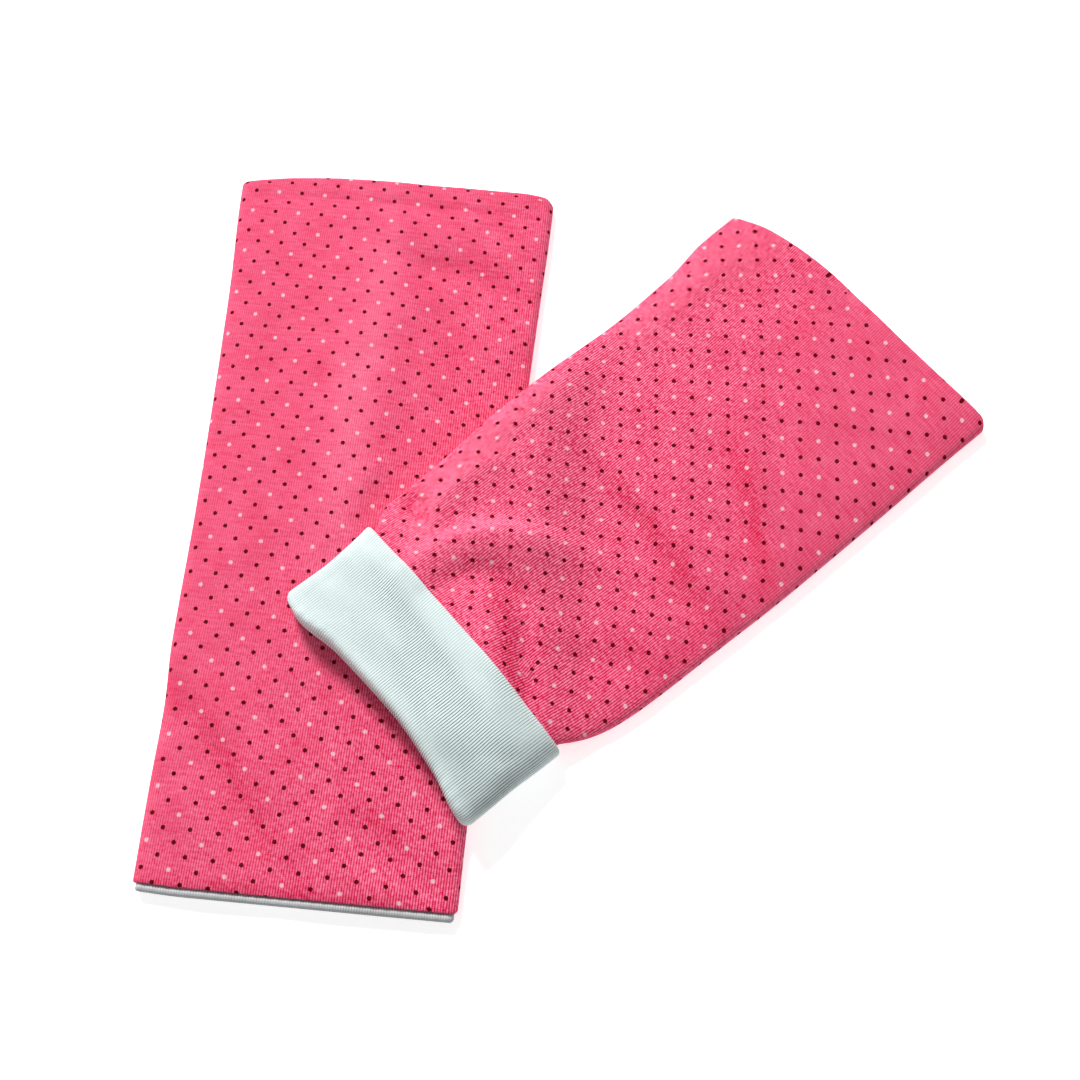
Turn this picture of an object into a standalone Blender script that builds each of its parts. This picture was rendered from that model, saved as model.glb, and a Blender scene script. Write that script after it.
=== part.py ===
"""A pair of lined arm warmers laid flat on a table.

The lower warmer lies flat. The upper one lies across it, with its wrist end turned up into a cuff.
Each warmer is two tubes of cloth, a printed jersey shell and a ribbed lining, joined at both mouths.
Sizes are in millimetres, and the meshes are made in metres.
"""
from collections import namedtuple
from math import cos, pi, radians, sin

import bmesh
import bpy
import numpy as np

MM = 0.001

# Cloth: each tube is a wall of this thickness, with this space between neighbours.
WALL = 1.0
GAP = 0.3
LAYER = WALL + GAP
STACK = LAYER + WALL

# Space between the two halves of a flattened warmer, at its side folds.
HOLLOW = 1.2
SIDE_RADIUS = STACK + HOLLOW / 2
FLAT_HEIGHT = 2 * SIDE_RADIUS

# Turned edges: how far a tube rolls over the end of its neighbour.
LIP = 3.0
LIP_RADIUS = STACK / 2
WRIST_STRIP = 2.3
EDGE_ROUND = 0.5

# The turned-up cuff: its depth, and the radius of the cloth where it turns back.
CUFF_DEPTH = 35.5
TURN_RADIUS = STACK + GAP / 2
CUFF_RISE = 2 * LAYER
CUFF_EASE = 14.0

# The lining and the shell's inner face follow a ridge up to this height. Above it the shell is thicker.
INNER_LIFT = 1.9
LEAST_HOLLOW = 0.6

# How the upper warmer comes down from the lower one to the table.
RESTING_GAP = 0.4
STEP_HOLD = 2.5
STEP_RUN = 30.0

# The lower warmer's folds fade out this far from the edge of the upper one, over this distance.
FLAT_MARGIN = 4.0
FLAT_EASE = 10.0

# Points round a tube: over its top, round each side fold and along its underside.
TOP_COLUMNS = 15
SIDE_COLUMNS = 3
UNDER_COLUMNS = 7

Width = namedtuple("Width", "along left right")
Edge = namedtuple("Edge", "side shift")
Fullness = namedtuple("Fullness", "along rise")
Fold = namedtuple("Fold", "name spread height path")
Warmer = namedtuple(
    "Warmer", "name start heading length widths fullness wrist_edge elbow_edge folds stations"
)
Cloth = namedtuple("Cloth", "name colour roughness")

# Half-widths to each side of the middle line, by distance from the wrist edge.
LOWER_WIDTHS = [
    Width(0, 50.6, 49.3),
    Width(25, 50.6, 49.3),
    Width(50, 50.2, 50.0),
    Width(80, 51.4, 51.0),
    Width(120, 51.2, 52.2),
    Width(170, 51.9, 53.4),
    Width(208, 52.9, 54.5),
    Width(238, 54.3, 55.4),
    Width(252, 54.6, 55.6),
]
UPPER_WIDTHS = [
    Width(0, 43.2, 45.4),
    Width(20, 43.3, 45.4),
    Width(36, 43.9, 45.4),
    Width(40, 47.0, 47.6),
    Width(46, 49.9, 50.2),
    Width(55, 49.8, 52.6),
    Width(67, 50.1, 54.0),
    Width(94, 52.0, 55.2),
    Width(128, 52.3, 56.5),
    Width(171, 54.0, 56.8),
    Width(197, 56.8, 56.7),
    Width(218, 57.2, 57.0),
]

# How much fuller than its side folds the middle of a warmer is.
LOWER_FULLNESS = [Fullness(0, 0.4), Fullness(252, 0.4)]
UPPER_FULLNESS = [
    Fullness(0, 0.6),
    Fullness(36, 0.7),
    Fullness(55, 0.8),
    Fullness(150, 0.8),
    Fullness(218, 0.4),
]

# How the mouths' edges wave, from the left side fold to the right one.
LOWER_WRIST_EDGE = [Edge(-51, 0.7), Edge(-35, 0.1), Edge(47, 0.3), Edge(50, 2.0)]
LOWER_ELBOW_EDGE = [
    Edge(-55, -4.7),
    Edge(-45, -3.0),
    Edge(-35, -1.6),
    Edge(-17, -0.3),
    Edge(43, -0.1),
    Edge(52, -0.9),
    Edge(56, -3.4),
]
UPPER_WRIST_EDGE = [
    Edge(-46, 1.0),
    Edge(-38, -0.6),
    Edge(-21, 2.1),
    Edge(5, 3.0),
    Edge(27, 0.9),
    Edge(45, -2.7),
    Edge(50, -2.4),
]
UPPER_ELBOW_EDGE = [
    Edge(-57, -10.2),
    Edge(-44, -4.9),
    Edge(-28, -1.6),
    Edge(-12, -0.4),
    Edge(25, 0.0),
    Edge(53, 0.9),
    Edge(57, -1.2),
]
EDGE_FADE = 45.0

# Ridges and troughs over the top: spread and height, and a path of points along and across the warmer.
LOWER_FOLDS = [
    Fold("middle ridge", 9, 1.2, [(232, -8), (186, -1), (154, -3), (122, -5)]),
    Fold("elbow slant", 5, -0.7, [(231, 1), (218, 22), (213, 47)]),
    Fold("right dent", 6, -0.5, [(200, 16), (172, 31), (165, 35)]),
    Fold("elbow hem line", 3, -0.4, [(242, -22), (244, 9), (243, 40)]),
    Fold("wrist slant", 5, -0.8, [(64, -42), (35, -23), (12, -6)]),
    Fold("wrist side ridge", 5, 0.8, [(58, -47), (39, -41), (26, -41)]),
    Fold("wrist right dent", 4, -0.5, [(26, 16), (18, 27), (10, 35)]),
]
UPPER_FOLDS = [
    Fold("cuff pillow", 6, 0.6, [(17, -34), (15, 3), (9, 38)]),
    Fold("cuff trough", 4, -0.6, [(31, -30), (27, -2), (21, 34)]),
    Fold("main ridge", 6, 2.8, [(45, -31), (61, -20), (73, -6), (77, 7)]),
    Fold("main trough", 4, -1.3, [(42, -17), (54, -13), (61, 1), (60, 14)]),
    Fold("cuff side ridge", 5, 1.6, [(44, -7), (50, 4)]),
    Fold("short trough", 4, -1.2, [(54, 2), (45, 15), (40, 22)]),
    Fold("left edge ridge", 6, 1.2, [(58, -44), (92, -45), (132, -43)]),
    Fold("long trough", 7, -1.0, [(106, -31), (107, 9), (103, 42)]),
    Fold("ridge before it", 8, 0.7, [(92, -24), (93, 20)]),
    Fold("right trough", 6, -0.8, [(136, 21), (134, 32), (124, 42)]),
    Fold("far dent", 6, -0.5, [(154, -18), (141, -17)]),
    Fold("right dent", 6, -0.6, [(74, 30), (75, 40)]),
]

# Where the sections lie along each warmer, closer together at the folds.
LOWER_STATIONS = [6, 13, 21, 29, 38, 49, 61, 76, 93, 110, 127, 144, 161, 177, 192, 205, 216, 226, 235, 242]
UPPER_CUFF_STATIONS = [8, 15, 22, 28]
UPPER_BODY_STATIONS = [
    34, 39, 43, 48, 54, 60, 66, 72, 79, 87, 95, 103, 111, 120, 130, 141, 153, 166, 180, 194, 206,
]

LOWER = Warmer(
    "lower", (-86.7, -123.6), 84.5, 250.5, LOWER_WIDTHS, LOWER_FULLNESS,
    LOWER_WRIST_EDGE, LOWER_ELBOW_EDGE, LOWER_FOLDS, LOWER_STATIONS,
)
UPPER = Warmer(
    "upper", (-64.2, -64.9), 40.6, 216.4, UPPER_WIDTHS, UPPER_FULLNESS,
    UPPER_WRIST_EDGE, UPPER_ELBOW_EDGE, UPPER_FOLDS, UPPER_CUFF_STATIONS + UPPER_BODY_STATIONS,
)

JERSEY = Cloth("pink_jersey", (0.86, 0.11, 0.21), 0.9)
RIB = Cloth("mint_rib", (0.68, 0.80, 0.79), 0.9)


def ease(value):
    """A smooth step from 0 to 1."""
    t = np.clip(value, 0.0, 1.0)
    return t * t * (3.0 - 2.0 * t)


def read(table, at, column):
    """A column of a table, on a smooth curve through its rows, at a place given by its first column."""
    places = np.array([row[0] for row in table], float)
    values = np.array([getattr(row, column) for row in table], float)
    rises = np.diff(values) / np.diff(places)
    before, after = rises[:-1], rises[1:]
    level = before * after <= 0.0
    mean = 2.0 * before * after / np.where(level, 1.0, before + after)
    slopes = np.concatenate([rises[:1], np.where(level, 0.0, mean), rises[-1:]])
    row = np.clip(np.searchsorted(places, at) - 1, 0, len(places) - 2)
    step = places[row + 1] - places[row]
    t = np.clip((at - places[row]) / step, 0.0, 1.0)
    start = (1.0 + 2.0 * t) * values[row] + t * step * slopes[row]
    end = (3.0 - 2.0 * t) * values[row + 1] - (1.0 - t) * step * slopes[row + 1]
    return (1.0 - t) ** 2 * start + t**2 * end


def axes(warmer):
    """The warmer's directions on the table: along it from the wrist, and across it to the right."""
    turn = radians(warmer.heading)
    return np.array([cos(turn), sin(turn)]), np.array([sin(turn), -cos(turn)])


def on_table(warmer, along, side):
    """A place on the warmer as a place on the table."""
    forward, across = axes(warmer)
    return np.array(warmer.start) + np.outer(along, forward) + np.outer(side, across)


def on_warmer(warmer, spots):
    """A place on the table as the distances along and across a warmer."""
    forward, across = axes(warmer)
    offset = spots - np.array(warmer.start)
    return offset @ forward, offset @ across


def distance_to_path(along, side, path):
    """How far each place lies from a path of straight stretches."""
    spots = np.stack([along, side], axis=-1)
    nearest = np.full(len(spots), np.inf)
    for start, end in zip(path, path[1:]):
        start, stretch = np.array(start, float), np.subtract(end, start).astype(float)
        share = np.clip((spots - start) @ stretch / (stretch @ stretch), 0.0, 1.0)
        gap = np.linalg.norm(spots - start - share[:, None] * stretch, axis=1)
        nearest = np.minimum(nearest, gap)
    return nearest


def relief(warmer, along, side):
    """The height of the ridges and troughs over the warmer's top."""
    height = np.zeros(len(side))
    for fold in warmer.folds:
        height += fold.height * np.exp(-((distance_to_path(along, side, fold.path) / fold.spread) ** 2))
    return height


def clear_of_upper(warmer, along, side):
    """1 where nothing lies on the warmer and 0 where the upper one does, so that it lies flat there."""
    if warmer is UPPER:
        return np.ones(len(side))
    over_along, over_side = on_warmer(UPPER, on_table(warmer, along, side))
    half = read(UPPER.widths, over_along, "left")
    outside = np.maximum(-over_along, np.abs(over_side) - half)
    return ease((outside - FLAT_MARGIN) / FLAT_EASE)


def bed_height(warmer, spots):
    """The height of what a warmer lies on: the table, or the lower warmer and the slope down from it."""
    if warmer is LOWER:
        return np.zeros(len(spots))
    along, side = on_warmer(LOWER, spots)
    past_edge = side - read(LOWER.widths, along, "right") - STEP_HOLD
    top = FLAT_HEIGHT + LOWER_FULLNESS[0].rise + RESTING_GAP
    return top * (1.0 - ease(past_edge / STEP_RUN))


def cuff_height(warmer, along):
    """How far the turned-up cuff's underside lifts the body of the warmer."""
    if warmer is LOWER:
        return 0.0
    return CUFF_RISE * (1.0 - ease((along - CUFF_DEPTH) / CUFF_EASE))


def edge_shift(warmer, along, side):
    """How far the waving edges of the two mouths move a place along the warmer."""
    wrist = read(warmer.wrist_edge, side, "shift") * (1.0 - ease(along / EDGE_FADE))
    elbow = read(warmer.elbow_edge, side, "shift") * (1.0 - ease((warmer.length - along) / EDGE_FADE))
    return wrist + elbow


def ring(warmer, along, depth):
    """A closed row of points round the tube, at a depth under its outer face."""
    left = read(warmer.widths, along, "left") - SIDE_RADIUS
    right = read(warmer.widths, along, "right") - SIDE_RADIUS
    radius = SIDE_RADIUS - depth
    bend = np.linspace(pi / 2, -pi / 2, SIDE_COLUMNS + 2)[1:-1]
    top = np.linspace(-left, right, TOP_COLUMNS)
    under = np.linspace(right, -left, UNDER_COLUMNS)
    middle = 2.0 * top / (left + right) - (right - left) / (left + right)
    crown = read(warmer.fullness, along, "rise") * (1.0 - middle**2)
    side = np.concatenate([top, right + radius * np.cos(bend), under, -left - radius * np.cos(bend[::-1])])
    level = np.concatenate([
        SIDE_RADIUS + radius + crown,
        SIDE_RADIUS + radius * np.sin(bend),
        np.full(UNDER_COLUMNS, SIDE_RADIUS - radius),
        SIDE_RADIUS + radius * np.sin(bend[::-1]),
    ])
    share = np.concatenate([
        np.ones(TOP_COLUMNS),
        (1.0 + np.sin(bend)) / 2,
        np.zeros(UNDER_COLUMNS),
        (1.0 + np.sin(bend[::-1])) / 2,
    ])
    places = np.full(len(side), along) + edge_shift(warmer, along, side)
    lift = relief(warmer, places, side) * clear_of_upper(warmer, places, side)
    lift = np.maximum(lift, LEAST_HOLLOW - HOLLOW - read(warmer.fullness, along, "rise"))
    if depth > 0.0:
        lift = np.minimum(lift, INNER_LIFT)
    spots = on_table(warmer, places, side)
    height = level + share * lift + cuff_height(warmer, along) + bed_height(warmer, spots)
    return np.column_stack([spots, height])


def nose(centre, middle, radius, first, last, steps):
    """Places round the end of a wall as pairs of distance along and depth, by angles in degrees."""
    return [
        (centre + radius * cos(turn), middle + radius * sin(turn))
        for turn in np.radians(np.linspace(first, last, steps))
    ]


def run(stations, depth):
    """The same depth at each section."""
    return [(along, depth) for along in stations]


def elbow_lip(length):
    """The shell's elbow end, which rolls in over the end of the lining."""
    roll = nose(length - LIP_RADIUS, LIP_RADIUS, LIP_RADIUS, 90, -90, 5)
    return [(length - LIP, WALL), (length - LIP, STACK)] + roll


def lower_shell_profile(warmer):
    """The lower shell's wall, cut lengthwise."""
    stations = warmer.stations
    wrist = [(EDGE_ROUND, 0.0), (0.0, EDGE_ROUND), (0.0, WALL)]
    return run(stations[::-1], 0.0) + wrist + run(stations, WALL) + elbow_lip(warmer.length)


def lower_lining_profile(warmer):
    """The lower lining's wall, cut lengthwise, with the strip that shows past the shell's wrist edge."""
    stations = warmer.stations
    end = warmer.length - LIP - GAP
    strip_top = WALL - GAP
    strip = [
        (EDGE_ROUND - WRIST_STRIP, STACK),
        (-WRIST_STRIP, STACK - EDGE_ROUND),
        (-WRIST_STRIP, strip_top + EDGE_ROUND),
        (EDGE_ROUND - WRIST_STRIP, strip_top),
        (-GAP, strip_top),
        (-GAP, LAYER),
    ]
    return run([end] + stations[::-1], STACK) + strip + run(stations + [end], LAYER)


def upper_shell_profile(warmer):
    """The upper shell's wall, cut lengthwise: down to the turn and back under the cuff to the hem."""
    stations = warmer.stations
    hem = CUFF_DEPTH - LIP - GAP
    inner_turn = nose(TURN_RADIUS, -GAP / 2, GAP / 2, 90, 270, 3)
    outer_turn = nose(TURN_RADIUS, -GAP / 2, TURN_RADIUS - LAYER, 270, 90, 7)
    turned_back = run(UPPER_CUFF_STATIONS + [hem], -GAP) + run([hem] + UPPER_CUFF_STATIONS[::-1], -LAYER)
    body = run(stations[::-1], 0.0) + inner_turn + turned_back
    return body + outer_turn + run(stations, WALL) + elbow_lip(warmer.length)


def upper_lining_profile(warmer):
    """The upper lining's wall, cut lengthwise: inside the shell, round the turn and up as the cuff."""
    stations = warmer.stations
    end = warmer.length - LIP - GAP
    outer_turn = nose(TURN_RADIUS, -GAP / 2, TURN_RADIUS, 90, 270, 7)
    inner_turn = nose(TURN_RADIUS, -GAP / 2, TURN_RADIUS - WALL, 270, 90, 7)
    hem_roll = nose(CUFF_DEPTH - LIP_RADIUS, LIP_RADIUS - CUFF_RISE, LIP_RADIUS, -90, 90, 5)
    hem_back = [(CUFF_DEPTH - LIP, -GAP), (CUFF_DEPTH - LIP, -GAP - LAYER)]
    cuff = run(UPPER_CUFF_STATIONS, -CUFF_RISE) + hem_roll + hem_back
    back = run(UPPER_CUFF_STATIONS[::-1], WALL - CUFF_RISE)
    inside = run([end] + stations[::-1], STACK)
    return inside + outer_turn + cuff + back + inner_turn + run(stations + [end], LAYER)


def cloth_material(cloth):
    """A plain material in the cloth's colour."""
    material = bpy.data.materials.new(cloth.name)
    material.use_nodes = True
    shader = material.node_tree.nodes["Principled BSDF"]
    shader.inputs["Base Color"].default_value = (*cloth.colour, 1.0)
    shader.inputs["Roughness"].default_value = cloth.roughness
    shader.inputs["Metallic"].default_value = 0.0
    return material


def tube(name, warmer, profile, material):
    """A closed wall round the warmer: a ring of points for each place in its lengthwise profile."""
    mesh = bpy.data.meshes.new(name)
    shape = bmesh.new()
    rows = [
        [shape.verts.new(point * MM) for point in ring(warmer, along, depth)] for along, depth in profile
    ]
    count = len(rows[0])
    for row, following in zip(rows, rows[1:] + rows[:1]):
        for column in range(count):
            beside = (column + 1) % count
            shape.faces.new((row[column], row[beside], following[beside], following[column]))
    bmesh.ops.triangulate(shape, faces=shape.faces)
    bmesh.ops.recalc_face_normals(shape, faces=shape.faces)
    shape.to_mesh(mesh)
    shape.free()
    mesh.materials.append(material)
    mesh.shade_smooth()
    piece = bpy.data.objects.new(name, mesh)
    bpy.context.scene.collection.objects.link(piece)
    return piece


def stand_on_origin(pieces):
    """Moves the pair so that the middle of its footprint is at the origin."""
    corners = np.array([vertex.co for piece in pieces for vertex in piece.data.vertices])
    middle = (corners.min(axis=0) + corners.max(axis=0)) / 2
    for piece in pieces:
        piece.location = (-middle[0], -middle[1], 0.0)


def main():
    """Clears the scene and makes the four pieces of cloth."""
    for left_over in list(bpy.data.objects):
        bpy.data.objects.remove(left_over)
    jersey = cloth_material(JERSEY)
    rib = cloth_material(RIB)
    stand_on_origin([
        tube("lower_shell", LOWER, lower_shell_profile(LOWER), jersey),
        tube("lower_lining", LOWER, lower_lining_profile(LOWER), rib),
        tube("upper_shell", UPPER, upper_shell_profile(UPPER), jersey),
        tube("upper_lining", UPPER, upper_lining_profile(UPPER), rib),
    ])


main()
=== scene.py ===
"""The looks of a pair of lined arm warmers laid flat, one across the other.

Each warmer is a printed jersey tube over a ribbed lining tube. The upper one has its wrist end turned up.
Sizes of the cloth are in millimetres, and the meshes are made in metres.
"""
from collections import namedtuple
from math import cos, pi, radians, sin

import bpy
import numpy as np
from bpy.props import FloatProperty, FloatVectorProperty, PointerProperty
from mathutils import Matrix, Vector


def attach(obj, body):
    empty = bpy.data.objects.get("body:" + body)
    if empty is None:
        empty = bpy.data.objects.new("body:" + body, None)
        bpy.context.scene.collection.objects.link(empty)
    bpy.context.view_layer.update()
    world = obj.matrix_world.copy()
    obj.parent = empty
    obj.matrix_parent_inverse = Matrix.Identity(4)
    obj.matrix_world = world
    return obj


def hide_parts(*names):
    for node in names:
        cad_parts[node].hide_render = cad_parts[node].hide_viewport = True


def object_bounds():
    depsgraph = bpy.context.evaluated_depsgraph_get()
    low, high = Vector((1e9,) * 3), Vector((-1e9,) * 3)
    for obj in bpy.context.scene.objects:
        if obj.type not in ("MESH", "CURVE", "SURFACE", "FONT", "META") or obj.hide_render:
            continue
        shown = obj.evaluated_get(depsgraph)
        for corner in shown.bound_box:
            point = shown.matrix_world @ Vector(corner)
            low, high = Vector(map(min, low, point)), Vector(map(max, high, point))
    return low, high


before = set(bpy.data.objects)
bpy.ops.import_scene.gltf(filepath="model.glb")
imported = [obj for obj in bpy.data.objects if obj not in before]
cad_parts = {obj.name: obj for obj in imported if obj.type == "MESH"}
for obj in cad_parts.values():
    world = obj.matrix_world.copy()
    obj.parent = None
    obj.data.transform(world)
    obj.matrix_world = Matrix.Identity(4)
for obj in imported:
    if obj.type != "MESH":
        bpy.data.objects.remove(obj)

bl_info = {
    "name": "Pair of Arm Warmers",
    "version": (1, 0, 0),
    "blender": (4, 5, 0),
    "location": "3D View > Sidebar > Arm Warmers",
    "description": "Makes a pair of lined arm warmers laid flat, with a ribbed cuff turned up",
    "category": "Object",
}

MM = 0.001
CAD_BOX = [list(corner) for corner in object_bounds()]
FLOOR = CAD_BOX[0][2]

# The cloth's stack, as the solids have it.
WALL = 1.0
GAP = 0.3
LAYER = WALL + GAP
STACK = LAYER + WALL
HOLLOW = 1.2
SIDE_RADIUS = STACK + HOLLOW / 2
FLAT_HEIGHT = 2 * SIDE_RADIUS

# Turned edges.
LIP = 3.0
LIP_RADIUS = STACK / 2
WRIST_STRIP = 2.3
STRIP_TOP = WALL
STRIP_RADIUS = (STACK - STRIP_TOP) / 2

# The turned-up cuff.
CUFF_DEPTH = 35.5
TURN_RADIUS = STACK + GAP / 2
CUFF_RISE = 2 * LAYER
CUFF_EASE = 14.0

# How the upper warmer lies on the lower one and comes down to the table.
LEAST_HOLLOW = 0.5
RESTING_GAP = 0.4
STEP_HOLD = 2.5
STEP_RUN = 30.0
FLAT_MARGIN = 4.0
FLAT_EASE = 10.0

# How far the mouths' wavy edges reach into the warmer, and the small puckers beside a hem.
EDGE_FADE = 45.0
PUCKER_HEIGHT = 0.07
PUCKER_LENGTH = 3.7
PUCKER_REACH = 5.0
PUCKER_SWAY = 1.7
PUCKER_SWAY_LENGTH = 9.0

# The lengthwise seam along the middle of the underside.
SEAM_DEPTH = 0.3
SEAM_SPREAD = 0.8
SEAM_STITCH = 4.3
STITCH_DIP = 0.25

# Folds: steps between a path's points, how many spreads away one still counts, how high they still are at
# their ends, and the most that one lifts the underside.
PATH_STEPS = 8
FOLD_REACH = 3.0
FOLD_END_SHARE = 0.3
UNDER_LIFT = 0.45

# Side folds: how square they are, the angle that they start at, how late the cloth's top bends down to
# them, and their steps.
SIDE_SQUARENESS = 2.5
SIDE_START = radians(20)
SHOULDER_POWER = 8
SECTION_STEPS = 721

# Steps round the turned edges: the rolled elbow edge, the cuff's turn, a roll, a wall's edge, and a gap.
NOSE_STEPS = 15
TURN_STEPS = 15
ROLL_STEPS = 11
WALL_STEPS = 9
GAP_STEPS = 3

# Columns round half a shell: its top, its side fold, most of its underside, and the seam's by how far they
# lie from the underside's middle.
TOP_COLUMNS = 42
BEND_COLUMNS = 13
UNDER_COLUMNS = 22
UNDER_SHARE = 0.94
SEAM_COLUMNS = [0.04, 0.026, 0.017, 0.01, 0.005]

# Heights across one rib, from its groove over its crest, as shares of the crest's.
RIB_PROFILE = [0.0, 0.75, 1.0, 0.75]

# Keeps a length that divides from being 0.
SMALL = 1e-6

# The print is measured from this far along, and its drifts are given over these lengths.
PRINT_MIDDLE = 125.0
DRIFT_ACROSS = 50.0
DRIFT_ALONG = 100.0

# The meshes' two maps, the second carrying painted shade and highlight, and the detail of every noise on
# them.
CLOTH_MAP = "cloth"
PAINTED_SHADING_MAP = "nap"
NOISE_DETAIL = 2.0

# Jersey: the slant of a stitch, the loops' share of a wale's height, the height from which its threads are
# paler, how pale the ground is, and how clear the knit is at least.
STITCH_SLANT = 1.2
LOOP_SHARE = 0.35
THREAD_LEVEL = 0.53
GROUND_LEVEL = 0.33
LEAST_CLEAR = 0.13

# Rib: the slant of a stitch, and for the painted shade in its grooves how high it reaches, how sharp and
# how open it is, and how clear on the strip and on the cuff.
RIB_SLANT = 1.1
GROOVE_LEVEL = 0.64
GROOVE_SHARPNESS = 2.6
GROOVE_OPENING = 0.72
STRIP_CLARITY = 0.4
CUFF_CLARITY = 0.9

WHITE = (1.0, 1.0, 1.0, 1.0)

# Half the floor's width, in metres.
FLOOR_REACH = 3.0

Width = namedtuple("Width", "along left right")
Edge = namedtuple("Edge", "side shift")
Fullness = namedtuple("Fullness", "along rise")
Fold = namedtuple("Fold", "height left right path")
Ripple = namedtuple("Ripple", "height along side turn")
Drift = namedtuple("Drift", "repeat start slant bow twist arch")
Clarity = namedtuple("Clarity", "middle across along")
Warmer = namedtuple(
    "Warmer",
    "name start heading length ribs shoulder widths fullness wrist_edge elbow_edge folds under_folds nap "
    "lining_grooves lining_shade ripples print_across print_along clarity",
)
Round = namedtuple("Round", "half turn back sign")
Section = namedtuple("Section", "shares out up arc")


def rows_of(kind, *values):
    """A table whose rows are all of one kind."""
    return [kind(*row) for row in values]


# Half-widths to each side of the middle line, by distance from the wrist edge.
LOWER_WIDTHS = rows_of(
    Width, (0, 50.6, 49.3), (25, 50.6, 49.3), (50, 50.2, 50.0), (80, 51.4, 51.0), (120, 51.2, 52.2),
    (170, 51.9, 53.4), (208, 52.9, 54.5), (238, 54.3, 55.4), (252, 54.6, 55.6),
)
UPPER_WIDTHS = rows_of(
    Width, (0, 43.4, 45.4), (9, 43.0, 45.4), (18, 42.8, 45.2), (28, 43.4, 45.5), (36, 44.4, 45.6),
    (40, 47.0, 47.6), (46, 49.9, 50.2), (55, 49.8, 52.6), (67, 50.1, 54.0), (94, 52.0, 55.2),
    (128, 52.3, 56.5), (171, 54.0, 56.8), (197, 56.8, 56.7), (218, 57.2, 57.0),
)

# How much fuller than its side folds the middle of a warmer is.
LOWER_FULLNESS = rows_of(Fullness, (0, 0.4), (252, 0.4))
UPPER_FULLNESS = rows_of(Fullness, (0, 0.6), (36, 0.7), (55, 0.8), (150, 0.8), (218, 0.4))

# How the mouths' edges wave, from the left side fold to the right one.
LOWER_WRIST_EDGE = rows_of(Edge, (-51, 0.7), (-35, 0.1), (47, 0.3), (50, 2.0))
LOWER_ELBOW_EDGE = rows_of(
    Edge, (-55, -4.7), (-45, -3.0), (-35, -1.6), (-17, -0.3), (43, -0.1), (52, -0.9), (56, -3.4),
)
UPPER_WRIST_EDGE = rows_of(
    Edge, (-46, 1.0), (-38, -0.6), (-21, 2.1), (5, 3.0), (27, 0.9), (45, -2.7), (50, -2.4),
)
UPPER_ELBOW_EDGE = rows_of(
    Edge, (-57, -10.2), (-44, -4.9), (-28, -1.6), (-12, -0.4), (25, 0.0), (53, 0.9), (57, -1.2),
)

# Ridges and troughs: height, how far each spreads to the left and right of its path, and the path's points
# along and across the warmer.
LOWER_FOLDS = rows_of(
    Fold,
    (1.3, 8, 20, [(242, 3), (214, 4), (186, 4), (158, 4), (134, 3), (108, 3), (88, 2)]),  # middle ridge
    (0.5, 4, 6, [(202, -4), (178, -7), (150, -6), (122, -4)]),  # left branch
    (-1.0, 5, 6, [(226, -4), (218, 12), (215, 32), (207, 50)]),  # elbow slant
    (0.5, 6, 6, [(236, 2), (229, 22), (226, 46)]),  # beyond the slant
    (-0.7, 5, 7, [(208, 19), (192, 26), (176, 33), (160, 42)]),  # right dent
    (0.7, 8, 8, [(204, 40), (188, 46), (170, 50)]),  # right swell
    (-0.5, 2.2, 2.2, [(240, -50), (241, -22), (241, 20), (240, 50)]),  # elbow hem groove
    (-1.4, 5, 6, [(70, -60), (58, -47), (44, -36), (29, -25), (14, -14), (0, -4)]),  # wrist slant
    (1.0, 6, 6, [(56, -52), (40, -46), (22, -36), (10, -26)]),  # wrist side ridge
    (0.7, 7, 7, [(66, -40), (52, -26), (36, -14), (22, -2)]),  # beyond the wrist slant
    (-0.9, 5, 5, [(27, 15), (19, 24), (11, 35), (4, 45)]),  # wrist right slant
    (0.5, 5, 5, [(14, 4), (7, 18), (3, 30)]),  # wrist right ridge
    (-0.6, 2.4, 2.4, [(-1, -54), (-0.6, -20), (-0.6, 20), (-0.6, 54)]),  # wrist edge
    (-0.5, 9, 9, [(222, -34), (192, -30), (160, -34)]),  # left dent
    (0.6, 9, 9, [(148, -42), (118, -32), (92, -34)]),  # left swell
)
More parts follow.
